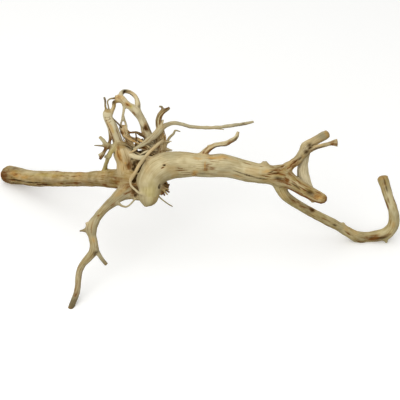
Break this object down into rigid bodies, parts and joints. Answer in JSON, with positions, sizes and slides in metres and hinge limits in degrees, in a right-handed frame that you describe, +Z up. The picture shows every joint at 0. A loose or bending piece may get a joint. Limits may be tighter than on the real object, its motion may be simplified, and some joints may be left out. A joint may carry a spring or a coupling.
{
  "type": "piece of driftwood",
  "caption": "Bare pale root wood with a swollen crown, a forked trunk, a straight side limb, a thin crooked leg, a hooked branch and a tangle of fine roots.",
  "frame": {"origin": "on the ground, under the middle of the wood's bounding box", "axes": "+X along the wood's length towards the hooked branch, +Y away from the viewed side, +Z up"},
  "size_m": [0.4411, 0.2348, 0.1687],
  "materials": {
    "bare_wood": "matte, weathered, bark stripped"
  },
  "bodies": {
    "root": {"driftwood": "bare_wood"}
  },
  "joints": []
}
